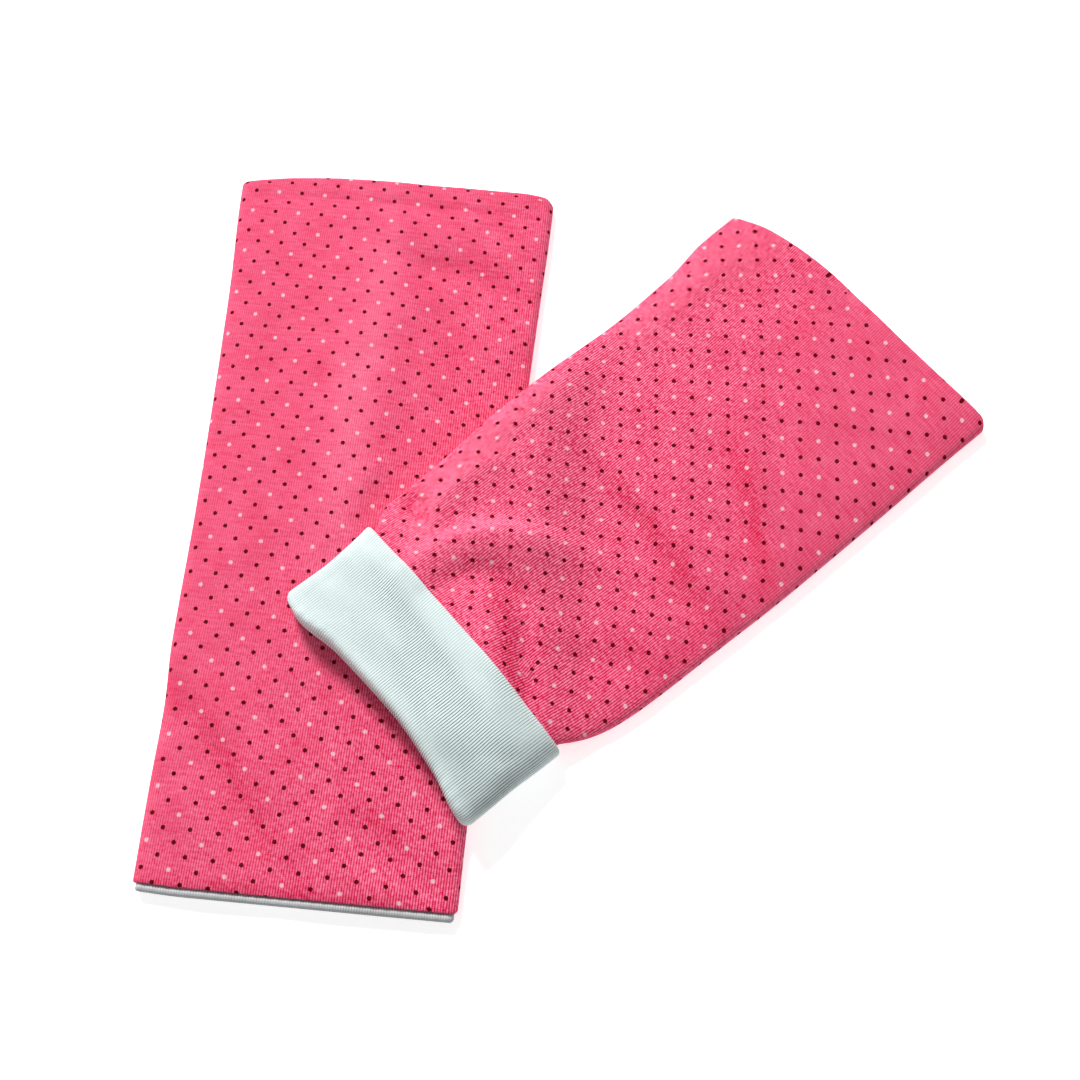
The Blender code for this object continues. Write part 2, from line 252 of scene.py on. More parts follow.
UPPER_FOLDS = rows_of(
    Fold,
    (-1.2, 5, 4.5, [(28, -40), (25, -24), (22, 0), (16, 30), (13, 44)]),  # cuff trough
    (0.5, 4, 4, [(34, -42), (33, 0), (32, 42)]),  # cuff hem ridge
    (-0.7, 5, 5, [(20, -46), (12, -38)]),  # cuff left dip
    (-1.3, 6, 8, [(26, 50), (12, 38), (4, 24)]),  # cuff right dip
    (3.4, 3.8, 10.5, [(33, -26), (47, -26.5), (63, -20), (74, -9), (84, 4)]),  # main ridge
    (-1.55, 3.6, 5, [(33, -16), (46, -15), (55, -9), (58, 0), (57, 8)]),  # main trough
    (1.9, 5, 3.6, [(50, -9), (43, 3), (37, 13), (30, 26)]),  # cuff side ridge
    (-2.1, 3.5, 5, [(57, 1), (51, 12), (42, 25), (34, 36)]),  # short trough
    (0.9, 5, 7, [(66, 8), (58, 22), (48, 38)]),  # ridge beside it
    (1.6, 3.4, 6, [(44, -31), (51, -35.5), (61, -39.5), (76, -39), (94, -33)]),  # arc ridge
    (-2.0, 3, 3, [(51, -48), (51.5, -42), (49, -36)]),  # hollow beside the arc
    (1.2, 5, 7, [(62, -48), (92, -46), (128, -44)]),  # left edge ridge
    (0.8, 5, 7, [(140, -46), (172, -45), (198, -46)]),  # left far ridge
    (-0.35, 7, 7, [(88, -22), (86, 0), (82, 20)]),  # hollow above the trough
    (-1.5, 5.5, 5.5, [(103, -28), (102.5, -4), (101, 17), (98, 34), (95, 48)]),  # long trough
    (1.6, 4.5, 6, [(112, -32), (112, -4), (110.5, 18), (107.5, 34), (105, 49)]),  # ridge beyond it
    (-1.3, 6, 7, [(140, 2), (133, 18), (125, 34), (117, 48)]),  # right trough
    (1.2, 5, 8, [(158, -8), (148, 12), (139, 28), (129, 46)]),  # right ridge
    (-0.9, 7, 7, [(56, 28), (66, 36), (78, 46)]),  # low right dent
    (0.7, 9, 10, [(192, -24), (182, 8), (170, 36)]),  # far swell
    (-0.45, 2.2, 2.2, [(206, -50), (206, -20), (207, 20), (207, 52)]),  # elbow hem groove
)

# Painted shade and highlight on the shells' colour: paler on ridges and side folds, darker below 0 in
# troughs and creases. How much, and then as for a fold.
LOWER_PAINTED_SHADING = rows_of(
    Fold,
    # Painted highlight along the middle ridge.
    (0.16, 7, 9, [(246, 0), (215, -1), (185, -2), (158, -3), (124, -3), (84, -4)]),  # storage crease
    (0.05, 6, 6, [(52, -47), (38, -41), (20, -33)]),  # wrist side
    (-0.07, 4, 4, [(227, -2), (221, 18), (218, 36), (211, 52)]),  # elbow slant
    (-0.04, 4, 5, [(211, 16), (196, 22), (178, 30), (160, 38)]),  # right dent
    (-0.11, 4, 5, [(74, -60), (62, -48), (50, -35), (36, -24), (21, -12), (4, 2)]),  # wrist slant
    (-0.11, 4, 4, [(31, 14), (26, 21), (18, 33), (10, 43)]),  # wrist right slant
    (-0.11, 2.6, 2.6, [(1, -70), (1, -20), (1, 20), (1, 70)]),  # wrist edge
    (-0.06, 1.8, 1.8, [(242, -24), (242, 2), (242, 28), (241, 56)]),  # elbow edge
    (0.12, 4, 3, [(-40, -53), (80, -55), (170, -56), (290, -58)]),  # left fold
    (0.24, 3, 4, [(-40, 52), (80, 54), (170, 56), (290, 59)]),  # right fold
)
UPPER_PAINTED_SHADING = rows_of(
    Fold,
    (0.15, 4, 5, [(34, -28), (50, -28.5), (66, -21), (77, -10), (88, 2)]),  # main ridge
    (0.14, 3, 3.5, [(42, -32), (50, -36), (60, -40), (72, -41)]),  # arc ridge
    (0.07, 6, 7, [(46, -47), (92, -47), (128, -48), (184, -51)]),  # left side
    (0.06, 5, 5, [(34, -13), (40, -10), (43, 4)]),  # near the cuff
    (-0.05, 3, 4, [(34, -19), (44, -19), (54, -15), (60, -4), (61, 4)]),  # main trough
    (-0.26, 3, 3.5, [(59, -9), (53, -1), (46, 11), (37, 25), (31, 34)]),  # short trough
    (-0.15, 3, 4, [(106, -28), (107, -4), (105.5, 14), (103, 33), (100.5, 50)]),  # long trough
    (-0.15, 3.5, 4, [(148, 3), (140, 20), (130, 36), (120, 50)]),  # right trough
    (-0.42, 2.5, 2.5, [(51, -47), (52, -42), (50, -37)]),  # hollow beside the arc
    (-0.05, 7, 7, [(50, 30), (66, 34), (80, 42)]),  # low right dent
    (-0.05, 7, 4, [(-10, 49), (90, 52), (140, 53), (260, 54)]),  # right side
    (0.26, 3.5, 4, [(-10, 53), (90, 58), (140, 59), (260, 60)]),  # right fold
)

# The same for how strongly the dark grooves between the cuff's ribs show: more in its trough, which paints
# shade there, and less beside it.
CUFF_GROOVE_SHADING = rows_of(
    Fold,
    (0.7, 4.5, 4, [(28, -30), (25, -18), (22, 2), (17, 26), (13, 46)]),  # trough
    (-0.35, 4.5, 4, [(32, -46), (31, -16), (30, 12), (28, 44)]),  # beside the hem
    (-0.35, 9, 8, [(24, -44), (12, -38), (2, -34)]),  # left corner
    (-0.25, 3, 3, [(1, -44), (3, -10), (4, 20), (0, 44)]),  # turned edge
    (0.2, 6, 6, [(12, -20), (12, 8), (9, 34)]),  # middle
)

# The same for painted shade on the linings: on the strip at the lower wrist edge, and on the cuff, with a
# painted highlight along its turned edge.
STRIP_PAINTED_SHADE = rows_of(Fold, (-0.5, 4, 4, [(-2, -150), (-2, 0), (-2, 150)]))
CUFF_PAINTED_SHADING = rows_of(
    Fold,
    (-0.17, 12, 10, [(28, -46), (14, -40), (0, -36)]),  # left corner
    (-0.21, 8, 10, [(0, 16), (7, 34), (14, 50)]),  # lower end
    (-0.18, 6, 6, [(60, 46), (18, 46), (-24, 46)]),  # right side
    (0.16, 2.5, 2.5, [(-1, -80), (-1, -10), (-1, 60)]),  # turned edge
)

# Shallow folds on the undersides, which lift off what lies below.
LOWER_UNDER_FOLDS = rows_of(
    Fold,
    (0.4, 5, 6, [(30, -34), (44, -10), (40, 18)]),  # wrist crease
    (0.45, 5, 7, [(96, 38), (112, 20), (116, 4)]),  # middle crease
    (0.35, 6, 6, [(134, -40), (150, -22)]),  # left crease
    (0.4, 6, 5, [(196, 40), (208, 12), (204, -16)]),  # elbow crease
)
UPPER_UNDER_FOLDS = rows_of(
    Fold,
    (0.35, 5, 5, [(52, -30), (64, -6), (66, 16)]),  # cuff crease
    (0.45, 6, 7, [(98, -38), (104, -12), (98, 10)]),  # middle crease
    (0.4, 6, 5, [(130, 40), (146, 22), (150, 6)]),  # right crease
    (0.35, 6, 6, [(184, -36), (192, -12)]),  # elbow crease
)

# Slight unevenness of the laid cloth: height, length of a wave along and across, and its start in turns.
LOWER_RIPPLES = rows_of(Ripple, (0.09, 47, 31, 0.15), (0.07, 29, -43, 0.6), (0.05, -19, 23, 0.35))
UPPER_RIPPLES = rows_of(Ripple, (0.09, 41, -37, 0.4), (0.08, 31, 27, 0.1), (0.05, -17, 21, 0.75))

LOWER = Warmer(
    "lower", (-86.27, -122.31), 84.5, 250.5, 248, 0.2, LOWER_WIDTHS, LOWER_FULLNESS, LOWER_WRIST_EDGE,
    LOWER_ELBOW_EDGE, LOWER_FOLDS, LOWER_UNDER_FOLDS, LOWER_PAINTED_SHADING, [], STRIP_PAINTED_SHADE, LOWER_RIPPLES,
    Drift(8.6, 1.6, -1.9, -1.0, 1.6, 0.4),
    Drift(8.23, -11.6, 1.7, 0.7, -0.6, 1.1),
    Clarity(0.25, 0.045, -0.017),
)
UPPER = Warmer(
    "upper", (-63.77, -63.61), 40.6, 216.4, 241, 1.2, UPPER_WIDTHS, UPPER_FULLNESS, UPPER_WRIST_EDGE,
    UPPER_ELBOW_EDGE, UPPER_FOLDS, UPPER_UNDER_FOLDS, UPPER_PAINTED_SHADING, CUFF_GROOVE_SHADING, CUFF_PAINTED_SHADING, UPPER_RIPPLES,
    Drift(8.67, 1.0, 0.3, -1.5, -1.2, 4.3),
    Drift(8.13, -2.0, -0.3, 1.7, -2.0, -2.8),
    Clarity(0.72, -0.09, -0.05),
)


# How the panel takes a colour and a place.
COLOUR = {"subtype": "COLOR", "min": 0.0, "max": 1.0}
PLACE = {"subtype": "TRANSLATION", "unit": "LENGTH"}


def number(label, meaning, value, **limits):
    """A number to set in the panel."""
    return FloatProperty(name=label, description=meaning, default=value, **limits)


def vector(label, meaning, value, kind):
    """A colour or a place to set in the panel."""
    return FloatVectorProperty(name=label, description=meaning, default=value, **kind)


class ClothSizes(bpy.types.PropertyGroup):
    """How finely the cloth is made, and the size of its knit."""

    row_pitch: number("Row pitch", "Distance between sections along a shell, in mm", 1.25, min=0.5)
    hidden_pitch: number("Hidden pitch", "Distance between sections inside a warmer, in mm", 9.0, min=2.0)
    cuff_pitch: number("Cuff pitch", "Distance between sections along the cuff, in mm", 1.7, min=0.5)
    rib_depth: number("Rib depth", "Height of the lining's ribs, in mm", 0.17, min=0.0, max=0.4)
    wales: number("Wales", "Jersey wales in one repeat of the print", 10.8, min=4.0)
    courses: number("Courses", "Jersey courses in one repeat of the print", 14.5, min=4.0)
    rib_courses: number("Rib courses", "Courses of the rib in one mm", 1.5, min=0.5)


class ClothColours(bpy.types.PropertyGroup):
    """Colours of the jersey, its print and the ribbed lining."""

    pink: vector("Pink", "Ground of the jersey", (0.62, 0.003, 0.055), COLOUR)
    light_pink: vector("Light pink", "Raised threads of the jersey", (1.0, 0.27, 0.43), COLOUR)
    dark_dot: vector("Dark dot", "Dark dots of the print", (0.10, 0.0, 0.002), COLOUR)
    light_dot: vector("Light dot", "Light dots of the print", (0.80, 0.48, 0.55), COLOUR)
    mint: vector("Mint", "Crests of the rib", (0.70, 0.805, 0.795), COLOUR)
    # The grooves' dark colour is painted shade between the ribs.
    mint_groove_shade: vector("Mint groove", "Grooves of the rib", (0.02, 0.05, 0.05), COLOUR)
    # A greyer copy of the mint, painting shade on the lower lining.
    painted_shade_mint: vector("Shaded mint", "Crests of the lower lining's rib", (0.66, 0.68, 0.69), COLOUR)


class PrintSizes(bpy.types.PropertyGroup):
    """Size of the printed dots."""

    dark_size: number("Dark size", "Diameter of a dark dot, in mm", 1.45, min=0.2)
    light_size: number("Light size", "Diameter of a light dot, in mm", 1.35, min=0.2)
    softness: number("Softness", "Width of a dot's soft edge, in mm", 0.16, min=0.01)


class StudioSizes(bpy.types.PropertyGroup):
    """Camera and light."""

    aim: vector("Aim", "Point that the camera looks at", (-0.01207, -0.00471, 0.0), PLACE)
    tilt: number("Tilt", "Camera's angle from straight down", radians(19.5), subtype="ANGLE")
    distance: number("Distance", "From the camera to its aim", 0.56, unit="LENGTH", min=0.05)
    lens: number("Lens", "Focal length, in mm", 56.67, min=10.0)
    key_place: vector("Key place", "From the camera's aim to the main light", (-0.669, 1.433, 1.5), PLACE)
    key_size: number("Key size", "Main light's width", 0.55, unit="LENGTH")
    key_power: number("Key power", "Main light's power", 57.0, unit="POWER")
    sky: number("Sky", "Strength of the light from all round", 0.40, min=0.0)
    table: number("Table", "Strength of the lit table's own light", 0.58)


def ease(value):
    """A smooth step from 0 to 1."""
    t = np.clip(value, 0.0, 1.0)
    return t * t * (3.0 - 2.0 * t)


def read(table, at, column):
    """A column of a table, on a smooth curve through its rows, at a place given by its first column."""
    places = np.array([row[0] for row in table], float)
    values = np.array([getattr(row, column) for row in table], float)
    rises = np.diff(values) / np.diff(places)
    before, after = rises[:-1], rises[1:]
    level = before * after <= 0.0
    mean = 2.0 * before * after / np.where(level, 1.0, before + after)
    slopes = np.concatenate([rises[:1], np.where(level, 0.0, mean), rises[-1:]])
    row = np.clip(np.searchsorted(places, at) - 1, 0, len(places) - 2)
    step = places[row + 1] - places[row]
    t = np.clip((at - places[row]) / step, 0.0, 1.0)
    start = (1.0 + 2.0 * t) * values[row] + t * step * slopes[row]
    end = (3.0 - 2.0 * t) * values[row + 1] - (1.0 - t) * step * slopes[row + 1]
    return (1.0 - t) ** 2 * start + t**2 * end


def axes(warmer):
    """The warmer's directions on the table: along it from the wrist, and across it to the right."""
    turn = radians(warmer.heading)
    return np.array([cos(turn), sin(turn)]), np.array([sin(turn), -cos(turn)])


def on_table(warmer, along, side):
    """A place on the warmer as a place on the table."""
    forward, across = axes(warmer)
    return np.array(warmer.start) + along[..., None] * forward + side[..., None] * across


def on_warmer(warmer, spots):
    """A place on the table as the distances along and across a warmer."""
    forward, across = axes(warmer)
    offset = spots - np.array(warmer.start)
    return offset @ forward, offset @ across


def smooth_path(points):
    """Closely spaced points on a smooth curve through a fold's own points."""
    known = np.array(points, float)
    known = np.vstack([2 * known[0] - known[1], known, 2 * known[-1] - known[-2]])
    t = np.linspace(0.0, 1.0, PATH_STEPS, endpoint=False)[:, None]
    stretches = []
    for a, b, c, d in zip(known, known[1:], known[2:], known[3:]):
        curve = 2 * b + (c - a) * t + (2 * a - 5 * b + 4 * c - d) * t**2 + (3 * b - a - 3 * c + d) * t**3
        stretches.append(curve / 2)
    return np.vstack(stretches + [known[-2:-1]])


def fold_height(fold, along, side):
    """One ridge or trough, lower towards its ends and unlike on its two sides."""
    path = smooth_path(fold.path)
    stretch = np.diff(path, axis=0)
    spots = np.stack([along, side], axis=-1)
    reach = FOLD_REACH * max(fold.left, fold.right)
    near = np.all((spots > path.min(axis=0) - reach) & (spots < path.max(axis=0) + reach), axis=-1)
    offset = spots[near][:, None, :] - path[:-1]
    share = np.clip((offset * stretch).sum(-1) / (stretch**2).sum(-1), 0.0, 1.0)
    gap = np.linalg.norm(offset - share[..., None] * stretch, axis=-1)
    nearest = gap.argmin(axis=1)
    pick = np.arange(len(nearest)), nearest
    turned = (stretch[:, 0] * offset[..., 1] - stretch[:, 1] * offset[..., 0])[pick]
    lean = turned / np.maximum(gap[pick] * np.linalg.norm(stretch, axis=1)[nearest], SMALL)
    spread = fold.left + (fold.right - fold.left) * (1.0 + lean) / 2
    place = (nearest + share[pick]) / len(stretch)
    swell = FOLD_END_SHARE + (1.0 - FOLD_END_SHARE) * np.sin(pi * place)
    height = np.zeros(along.shape)
    height[near] = fold.height * swell * np.exp(-((gap[pick] / spread) ** 2))
    return height


def relief(folds, along, side):
    """The height of all of a table's ridges and troughs."""
    return sum(fold_height(fold, along, side) for fold in folds)


def unevenness(ripples, along, side):
    """Low waves over the whole of a laid cloth."""
    return sum(r.height * np.sin(2 * pi * (along / r.along + side / r.side + r.turn)) for r in ripples)


def puckers(warmer, along, side):
    """Small gathers where shell and lining are sewn together, fading out from each mouth."""
    from_mouth = np.minimum(np.abs(along), np.abs(warmer.length - along))
    wave = np.sin(2 * pi * side / PUCKER_LENGTH + PUCKER_SWAY * np.sin(side / PUCKER_SWAY_LENGTH))
    return PUCKER_HEIGHT * wave * (1.0 - ease(from_mouth / PUCKER_REACH))


def clear_of_upper(warmer, along, side):
    """1 where nothing lies on the warmer and 0 where the upper one does, so that it lies flat there."""
    if warmer is UPPER:
        return np.ones(side.shape)
    over_along, over_side = on_warmer(UPPER, on_table(warmer, along, side))
    half = read(UPPER.widths, over_along, "left")
    outside = np.maximum(-over_along, np.abs(over_side) - half)
    return ease((outside - FLAT_MARGIN) / FLAT_EASE)


def bed_height(warmer, spots):
    """The height of what a warmer lies on: the table, or the lower warmer and the slope down from it."""
    if warmer is LOWER:
        return 0.0
    along, side = on_warmer(LOWER, spots)
    past_edge = side - read(LOWER.widths, along, "right") - STEP_HOLD
    top = FLAT_HEIGHT + LOWER_FULLNESS[0].rise + RESTING_GAP
    return top * (1.0 - ease(past_edge / STEP_RUN))


def edge_shift(warmer, along, side):
    """How far the waving edges of the two mouths move a place along the warmer."""
    wrist = read(warmer.wrist_edge, side, "shift") * (1.0 - ease(along / EDGE_FADE))
    elbow = read(warmer.elbow_edge, side, "shift") * (1.0 - ease((warmer.length - along) / EDGE_FADE))
    return wrist + elbow


def side_section():
    """A side fold seen from its end: slightly squared, 1 wide, from 1 above to 1 below, in even steps."""
    turn = np.linspace(SIDE_START, pi, SECTION_STEPS)
    out = np.abs(np.sin(turn)) ** (2 / SIDE_SQUARENESS)
    up = np.sign(np.cos(turn)) * np.abs(np.cos(turn)) ** (2 / SIDE_SQUARENESS)
    widest = int(out.argmax())
    out[:widest] = (out[:widest] - out[0]) / (out[widest] - out[0])
    up = (up + 1.0) * 2.0 / (up[0] + 1.0) - 1.0
    lengths = np.concatenate([[0.0], np.cumsum(np.hypot(np.diff(out), np.diff(up)))])
    return Section(lengths / lengths[-1], out, up, lengths[-1])


SECTION = side_section()


def round_places(warmer, along, columns):
    """Where each column lies: from 0 to 1 over the top, to 2 round the side fold, and to 3 under it."""
    sign = np.sign(columns)
    count = np.abs(columns)
    left = read(warmer.widths, along, "left") - SIDE_RADIUS
    right = read(warmer.widths, along, "right") - SIDE_RADIUS
    half = np.where(sign < 0.0, left, right)
    turn = np.clip(count - 1.0, 0.0, 1.0)
    back = np.clip(count - 2.0, 0.0, 1.0) * half
    return Round(np.minimum(count, 1.0) * half, turn, back, sign), half


def surface(warmer, along, depth, columns):
    """Points of the tube for rows at a distance along and a depth, and columns round it."""
    along, depth = along[:, None], depth[:, None]
    spot, half = round_places(warmer, along, columns[None, :])
    radius = SIDE_RADIUS - depth
    on_top = spot.turn == 0.0
    bulge = np.interp(spot.turn, SECTION.shares, SECTION.out)
    rise = np.interp(spot.turn, SECTION.shares, SECTION.up)
    side = spot.sign * (spot.half + radius * bulge - spot.back)
    out = spot.half / half
    crown = read(warmer.fullness, along, "rise") * (1.0 - out**2)
    crown = (crown + warmer.shoulder * (1.0 - out**SHOULDER_POWER)) * on_top
    level = SIDE_RADIUS + radius * rise + crown
    share = (1.0 + rise) / 2
    along = along + edge_shift(warmer, along, side)
    above = relief(warmer.folds, along, side) + unevenness(warmer.ripples, along, side)
    above = above * clear_of_upper(warmer, along, side)
    above = np.maximum(above, LEAST_HOLLOW - HOLLOW - crown)
    above = above + puckers(warmer, along, side)
    below = relief(warmer.under_folds, along, side)
    stitched = 1.0 - STITCH_DIP + STITCH_DIP * np.sin(2 * pi * along / SEAM_STITCH)
    below = np.minimum(below + SEAM_DEPTH * stitched * np.exp(-((side / SEAM_SPREAD) ** 2)), UNDER_LIFT)
    spots = on_table(warmer, along, side)
    height = level + share * above + (1.0 - share) * below + bed_height(warmer, spots)
    if warmer is UPPER:
        height = height + CUFF_RISE * (1.0 - ease((along - CUFF_DEPTH) / CUFF_EASE))
    cloth_across = spot.sign * (spot.half + SIDE_RADIUS * SECTION.arc * spot.turn + spot.back)
    return np.dstack([spots, height]), along, cloth_across


def nose(centre, middle, radius, first, last, steps):
    """Places round a rolled edge as pairs of distance along and depth, by angles in degrees."""
    return [
        (centre + radius * cos(turn), middle + radius * sin(turn))
        for turn in np.radians(np.linspace(first, last, steps))
    ]


def run(first, last, pitch, depth):
    """Evenly spaced places at one depth, from one distance along to another."""
    steps = max(2, round(abs(last - first) / pitch) + 1)
    return [(along, depth) for along in np.linspace(first, last, steps)]


def rolled_elbow(warmer):
    """The elbow edge, rolled in round the end of the lining."""
    far = warmer.length - LIP_RADIUS
    return [(warmer.length - LIP, STACK)] + nose(far, LIP_RADIUS, LIP_RADIUS, 90, -90, NOSE_STEPS)


def lower_shell_wall(warmer, cloth):
    """The lower shell, cut lengthwise: its outer face, wrist edge, inner face and rolled elbow edge."""
    inset, far = WALL / 2, warmer.length - LIP_RADIUS
    outer = run(far, inset, cloth.row_pitch, 0.0)[1:]
    wrist = nose(inset, WALL / 2, WALL / 2, 270, 90, WALL_STEPS)[1:]
    inner = run(inset, warmer.length - LIP, cloth.hidden_pitch, WALL)[1:]
    return outer + wrist + inner + rolled_elbow(warmer)


def upper_shell_wall(warmer, cloth):
    """The upper shell, cut lengthwise: its outer face, the turn under the cuff, and the inner face."""
    far = warmer.length - LIP_RADIUS
    hem = CUFF_DEPTH - LIP - GAP
    outer = run(far, hem - cloth.row_pitch, cloth.row_pitch, 0.0)[1:]
    outer += run(hem - 2 * cloth.row_pitch, TURN_RADIUS, cloth.hidden_pitch, 0.0)
    inner_turn = nose(TURN_RADIUS, -GAP / 2, GAP / 2, 90, 270, GAP_STEPS)[1:]
    back = run(TURN_RADIUS, hem, cloth.hidden_pitch, -GAP)[1:]
    back += run(hem, TURN_RADIUS, cloth.hidden_pitch, -LAYER)
    outer_turn = nose(TURN_RADIUS, -GAP / 2, TURN_RADIUS - LAYER, 270, 90, WALL_STEPS)[1:]
    inner = run(TURN_RADIUS, warmer.length - LIP, cloth.hidden_pitch, WALL)[1:]
    return outer + inner_turn + back + outer_turn + inner + rolled_elbow(warmer)


def lower_lining_wall(warmer, cloth):
    """The lower lining, cut lengthwise, with the rolled strip that shows past the shell's wrist edge."""
    end = warmer.length - LIP - GAP
    middle = STRIP_TOP + STRIP_RADIUS
    tip = STRIP_RADIUS - WRIST_STRIP
    inner = run(end, tip, cloth.hidden_pitch, STACK)
    roll = nose(tip, middle, STRIP_RADIUS, 90, 270, ROLL_STEPS)[1:]
    strip = run(tip, -GAP, cloth.cuff_pitch, STRIP_TOP)[1:] + [(-GAP, LAYER)]
    outer = run(-GAP, end, cloth.hidden_pitch, LAYER)[1:]
    return inner + roll + strip + outer


def upper_lining_wall(warmer, cloth):
    """The upper lining, cut lengthwise: inside the shell, round the turn and up as the cuff to its hem."""
    end = warmer.length - LIP - GAP
    hem = CUFF_DEPTH - LIP_RADIUS
    inner = run(end, TURN_RADIUS, cloth.hidden_pitch, STACK)
    turn = nose(TURN_RADIUS, -GAP / 2, TURN_RADIUS, 90, 270, TURN_STEPS)[1:]
    cuff = run(TURN_RADIUS, hem, cloth.cuff_pitch, -CUFF_RISE)[1:]
    hem_roll = nose(hem, LIP_RADIUS - CUFF_RISE, LIP_RADIUS, -90, 90, ROLL_STEPS)[1:]
    hem_back = [(CUFF_DEPTH - LIP, -GAP), (CUFF_DEPTH - LIP, -GAP - LAYER)]
    back = run(CUFF_DEPTH - LIP, TURN_RADIUS, cloth.hidden_pitch, WALL - CUFF_RISE)[1:]
    inner_turn = nose(TURN_RADIUS, -GAP / 2, TURN_RADIUS - WALL, 270, 90, WALL_STEPS)[1:]
    outer = run(TURN_RADIUS, end, cloth.hidden_pitch, LAYER)[1:]
    return inner + turn + cuff + hem_roll + hem_back + back + inner_turn + outer


def outward(places):
    """The direction away from a wall's inside at each place of its lengthwise cut."""
    following, before = np.roll(places, -1, axis=0), np.roll(places, 1, axis=0)
    tangent = following - before
    normal = np.column_stack([tangent[:, 1], -tangent[:, 0]])
    return normal / np.maximum(np.linalg.norm(normal, axis=1, keepdims=True), SMALL)


def cloth_lengths(places):
    """How far along the cloth each place of a closed lengthwise cut lies, and the whole way round."""
    steps = np.linalg.norm(np.roll(places, -1, axis=0) - places, axis=1)
    return np.concatenate([[0.0], np.cumsum(steps)])


def shell_columns():
    """Columns round a shell: close over the top and its folds, and close at the seam underneath."""
    top = np.linspace(0.0, 1.0, TOP_COLUMNS)
    bend = np.linspace(1.0, 2.0, BEND_COLUMNS)[1:]
    under = 2.0 + np.linspace(0.0, UNDER_SHARE, UNDER_COLUMNS)[1:]
    seam = 3.0 - np.array(SEAM_COLUMNS)
    side = np.concatenate([top, bend, under, seam])
    return np.concatenate([[-3.0], -side[::-1], side[1:]])


def rib_columns(warmer, radius):
    """Columns round a lining, the same to each rib, even where its side folds have this radius."""
    flat = warmer.widths[0].left + warmer.widths[0].right - 2 * SIDE_RADIUS
    bend = SECTION.arc * radius
    half = flat / 2
    count = len(RIB_PROFILE) * warmer.ribs
    place = (np.arange(count) / count - 0.5) * 2 * (2 * half + bend)
    reach = np.abs(place)
    column = np.where(reach < half, reach / half, 1.0 + (reach - half) / bend)
    column = np.where(reach > half + bend, 2.0 + (reach - half - bend) / half, column)
    return np.sign(place) * column


def repeats(drift, own, slant, side, up):
    """How many repeats of the print a place lies from its middle, with the print's drift on the cloth."""
    moved = drift.start + drift.slant * slant + drift.bow * side**2 + drift.twist * side * up
    moved = moved + drift.arch * up**2
    return (own + moved) / drift.repeat


def print_places(warmer, points, along, across, excess):
    """The print's own coordinates, which follow the cloth over its folds and rolled edges."""
    rise = np.abs(np.diff(points[..., 2], axis=0))
    flat = np.linalg.norm(np.diff(points[..., :2], axis=0), axis=2)
    longer = (np.hypot(flat, rise) - flat) * (excess[1:, None] == 0.0)
    extra = np.vstack([np.zeros((1, points.shape[1])), np.cumsum(longer, axis=0)])
    along = along + excess[:, None] - extra
    side, up = across / DRIFT_ACROSS, (along - PRINT_MIDDLE) / DRIFT_ALONG
    p = repeats(warmer.print_across, across, up, side, up)
    q = repeats(warmer.print_along, along - PRINT_MIDDLE, side, side, up)
    return p, q


def cloth_mesh(name, points, maps):
    """A closed tube from a grid of points, with a pair of map values at each corner of each face."""
    rows, columns = points.shape[:2]
    row, column = np.meshgrid(np.arange(rows), np.arange(columns), indexing="ij")
    beside, following = (column + 1) % columns, (row + 1) % rows
    corners = [(row, column), (following, column), (following, beside), (row, beside)]
    faces = np.stack([r * columns + c for r, c in corners], axis=-1).reshape(-1, 4)
    mesh = bpy.data.meshes.new(name)
    mesh.from_pydata(points.reshape(-1, 3) * MM, [], faces)
    whole = [(row, column), (row + 1, column), (row + 1, column + 1), (row, column + 1)]
    for map_name, (first, second) in maps.items():
        layer = mesh.uv_layers.new(name=map_name)
        places = np.stack([np.stack([first[r, c], second[r, c]], axis=-1) for r, c in whole], axis=2)
        layer.data.foreach_set("uv", places.reshape(-1).astype(np.float32))
    mesh.shade_smooth()
    mesh.validate()
    return mesh


def closed(values, rows_end, columns_end):
    """Repeats a grid's first row and column past its last ones, so that a map can run on to the seam."""
    values = np.vstack([values, values[:1] + rows_end])
    return np.hstack([values, values[:, :1] + columns_end])


def make_piece(node, points, maps, material):
    """Makes a piece of cloth from its points, hangs it on the root body, and hides the solid it stands for.
    """
    mesh = cloth_mesh(f"{node}_cloth", points, maps)
    mesh.materials.append(material)
    piece = bpy.data.objects.new(mesh.name, mesh)
    bpy.context.scene.collection.objects.link(piece)
    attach(piece, "root")
    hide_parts(node)


def make_shell(warmer, wall, material):
    """One printed jersey tube."""
    places = np.array(wall)
    columns = shell_columns()
    points, along, across = surface(warmer, places[:, 0], places[:, 1], columns)
    lengths = cloth_lengths(places)
    outer = places[:, 1] == 0.0
    first = int(np.argmax(outer))
    run_on = places[first, 0] - (lengths[:-1] - lengths[first])
    excess = np.where(outer, 0.0, run_on - places[:, 0])
    elbow = np.arange(len(places)) >= len(places) - NOSE_STEPS
    round_nose = warmer.length - LIP_RADIUS + lengths[-1] - lengths[:-1]
    excess = np.where(elbow, round_nose - places[:, 0], excess)
    p, q = print_places(warmer, points, along, across, excess)
    turn_across = np.ptp(across[0]) + abs(across[0, 1] - across[0, 0])
    # Painted shade and highlight over the folds, on the outer face only.
    nap = relief(warmer.nap, along, across) * outer[:, None]
    maps = {
        CLOTH_MAP: (closed(p, 0.0, turn_across / warmer.print_across.repeat), closed(q, 0.0, 0.0)),
        PAINTED_SHADING_MAP: (closed(nap, 0.0, 0.0), closed(nap, 0.0, 0.0)),
    }
    cut = (turn_across * MM, float(lengths[-1]) / 2 * MM)
    node = f"{warmer.name}_shell"
    make_piece(node, points, maps, material)


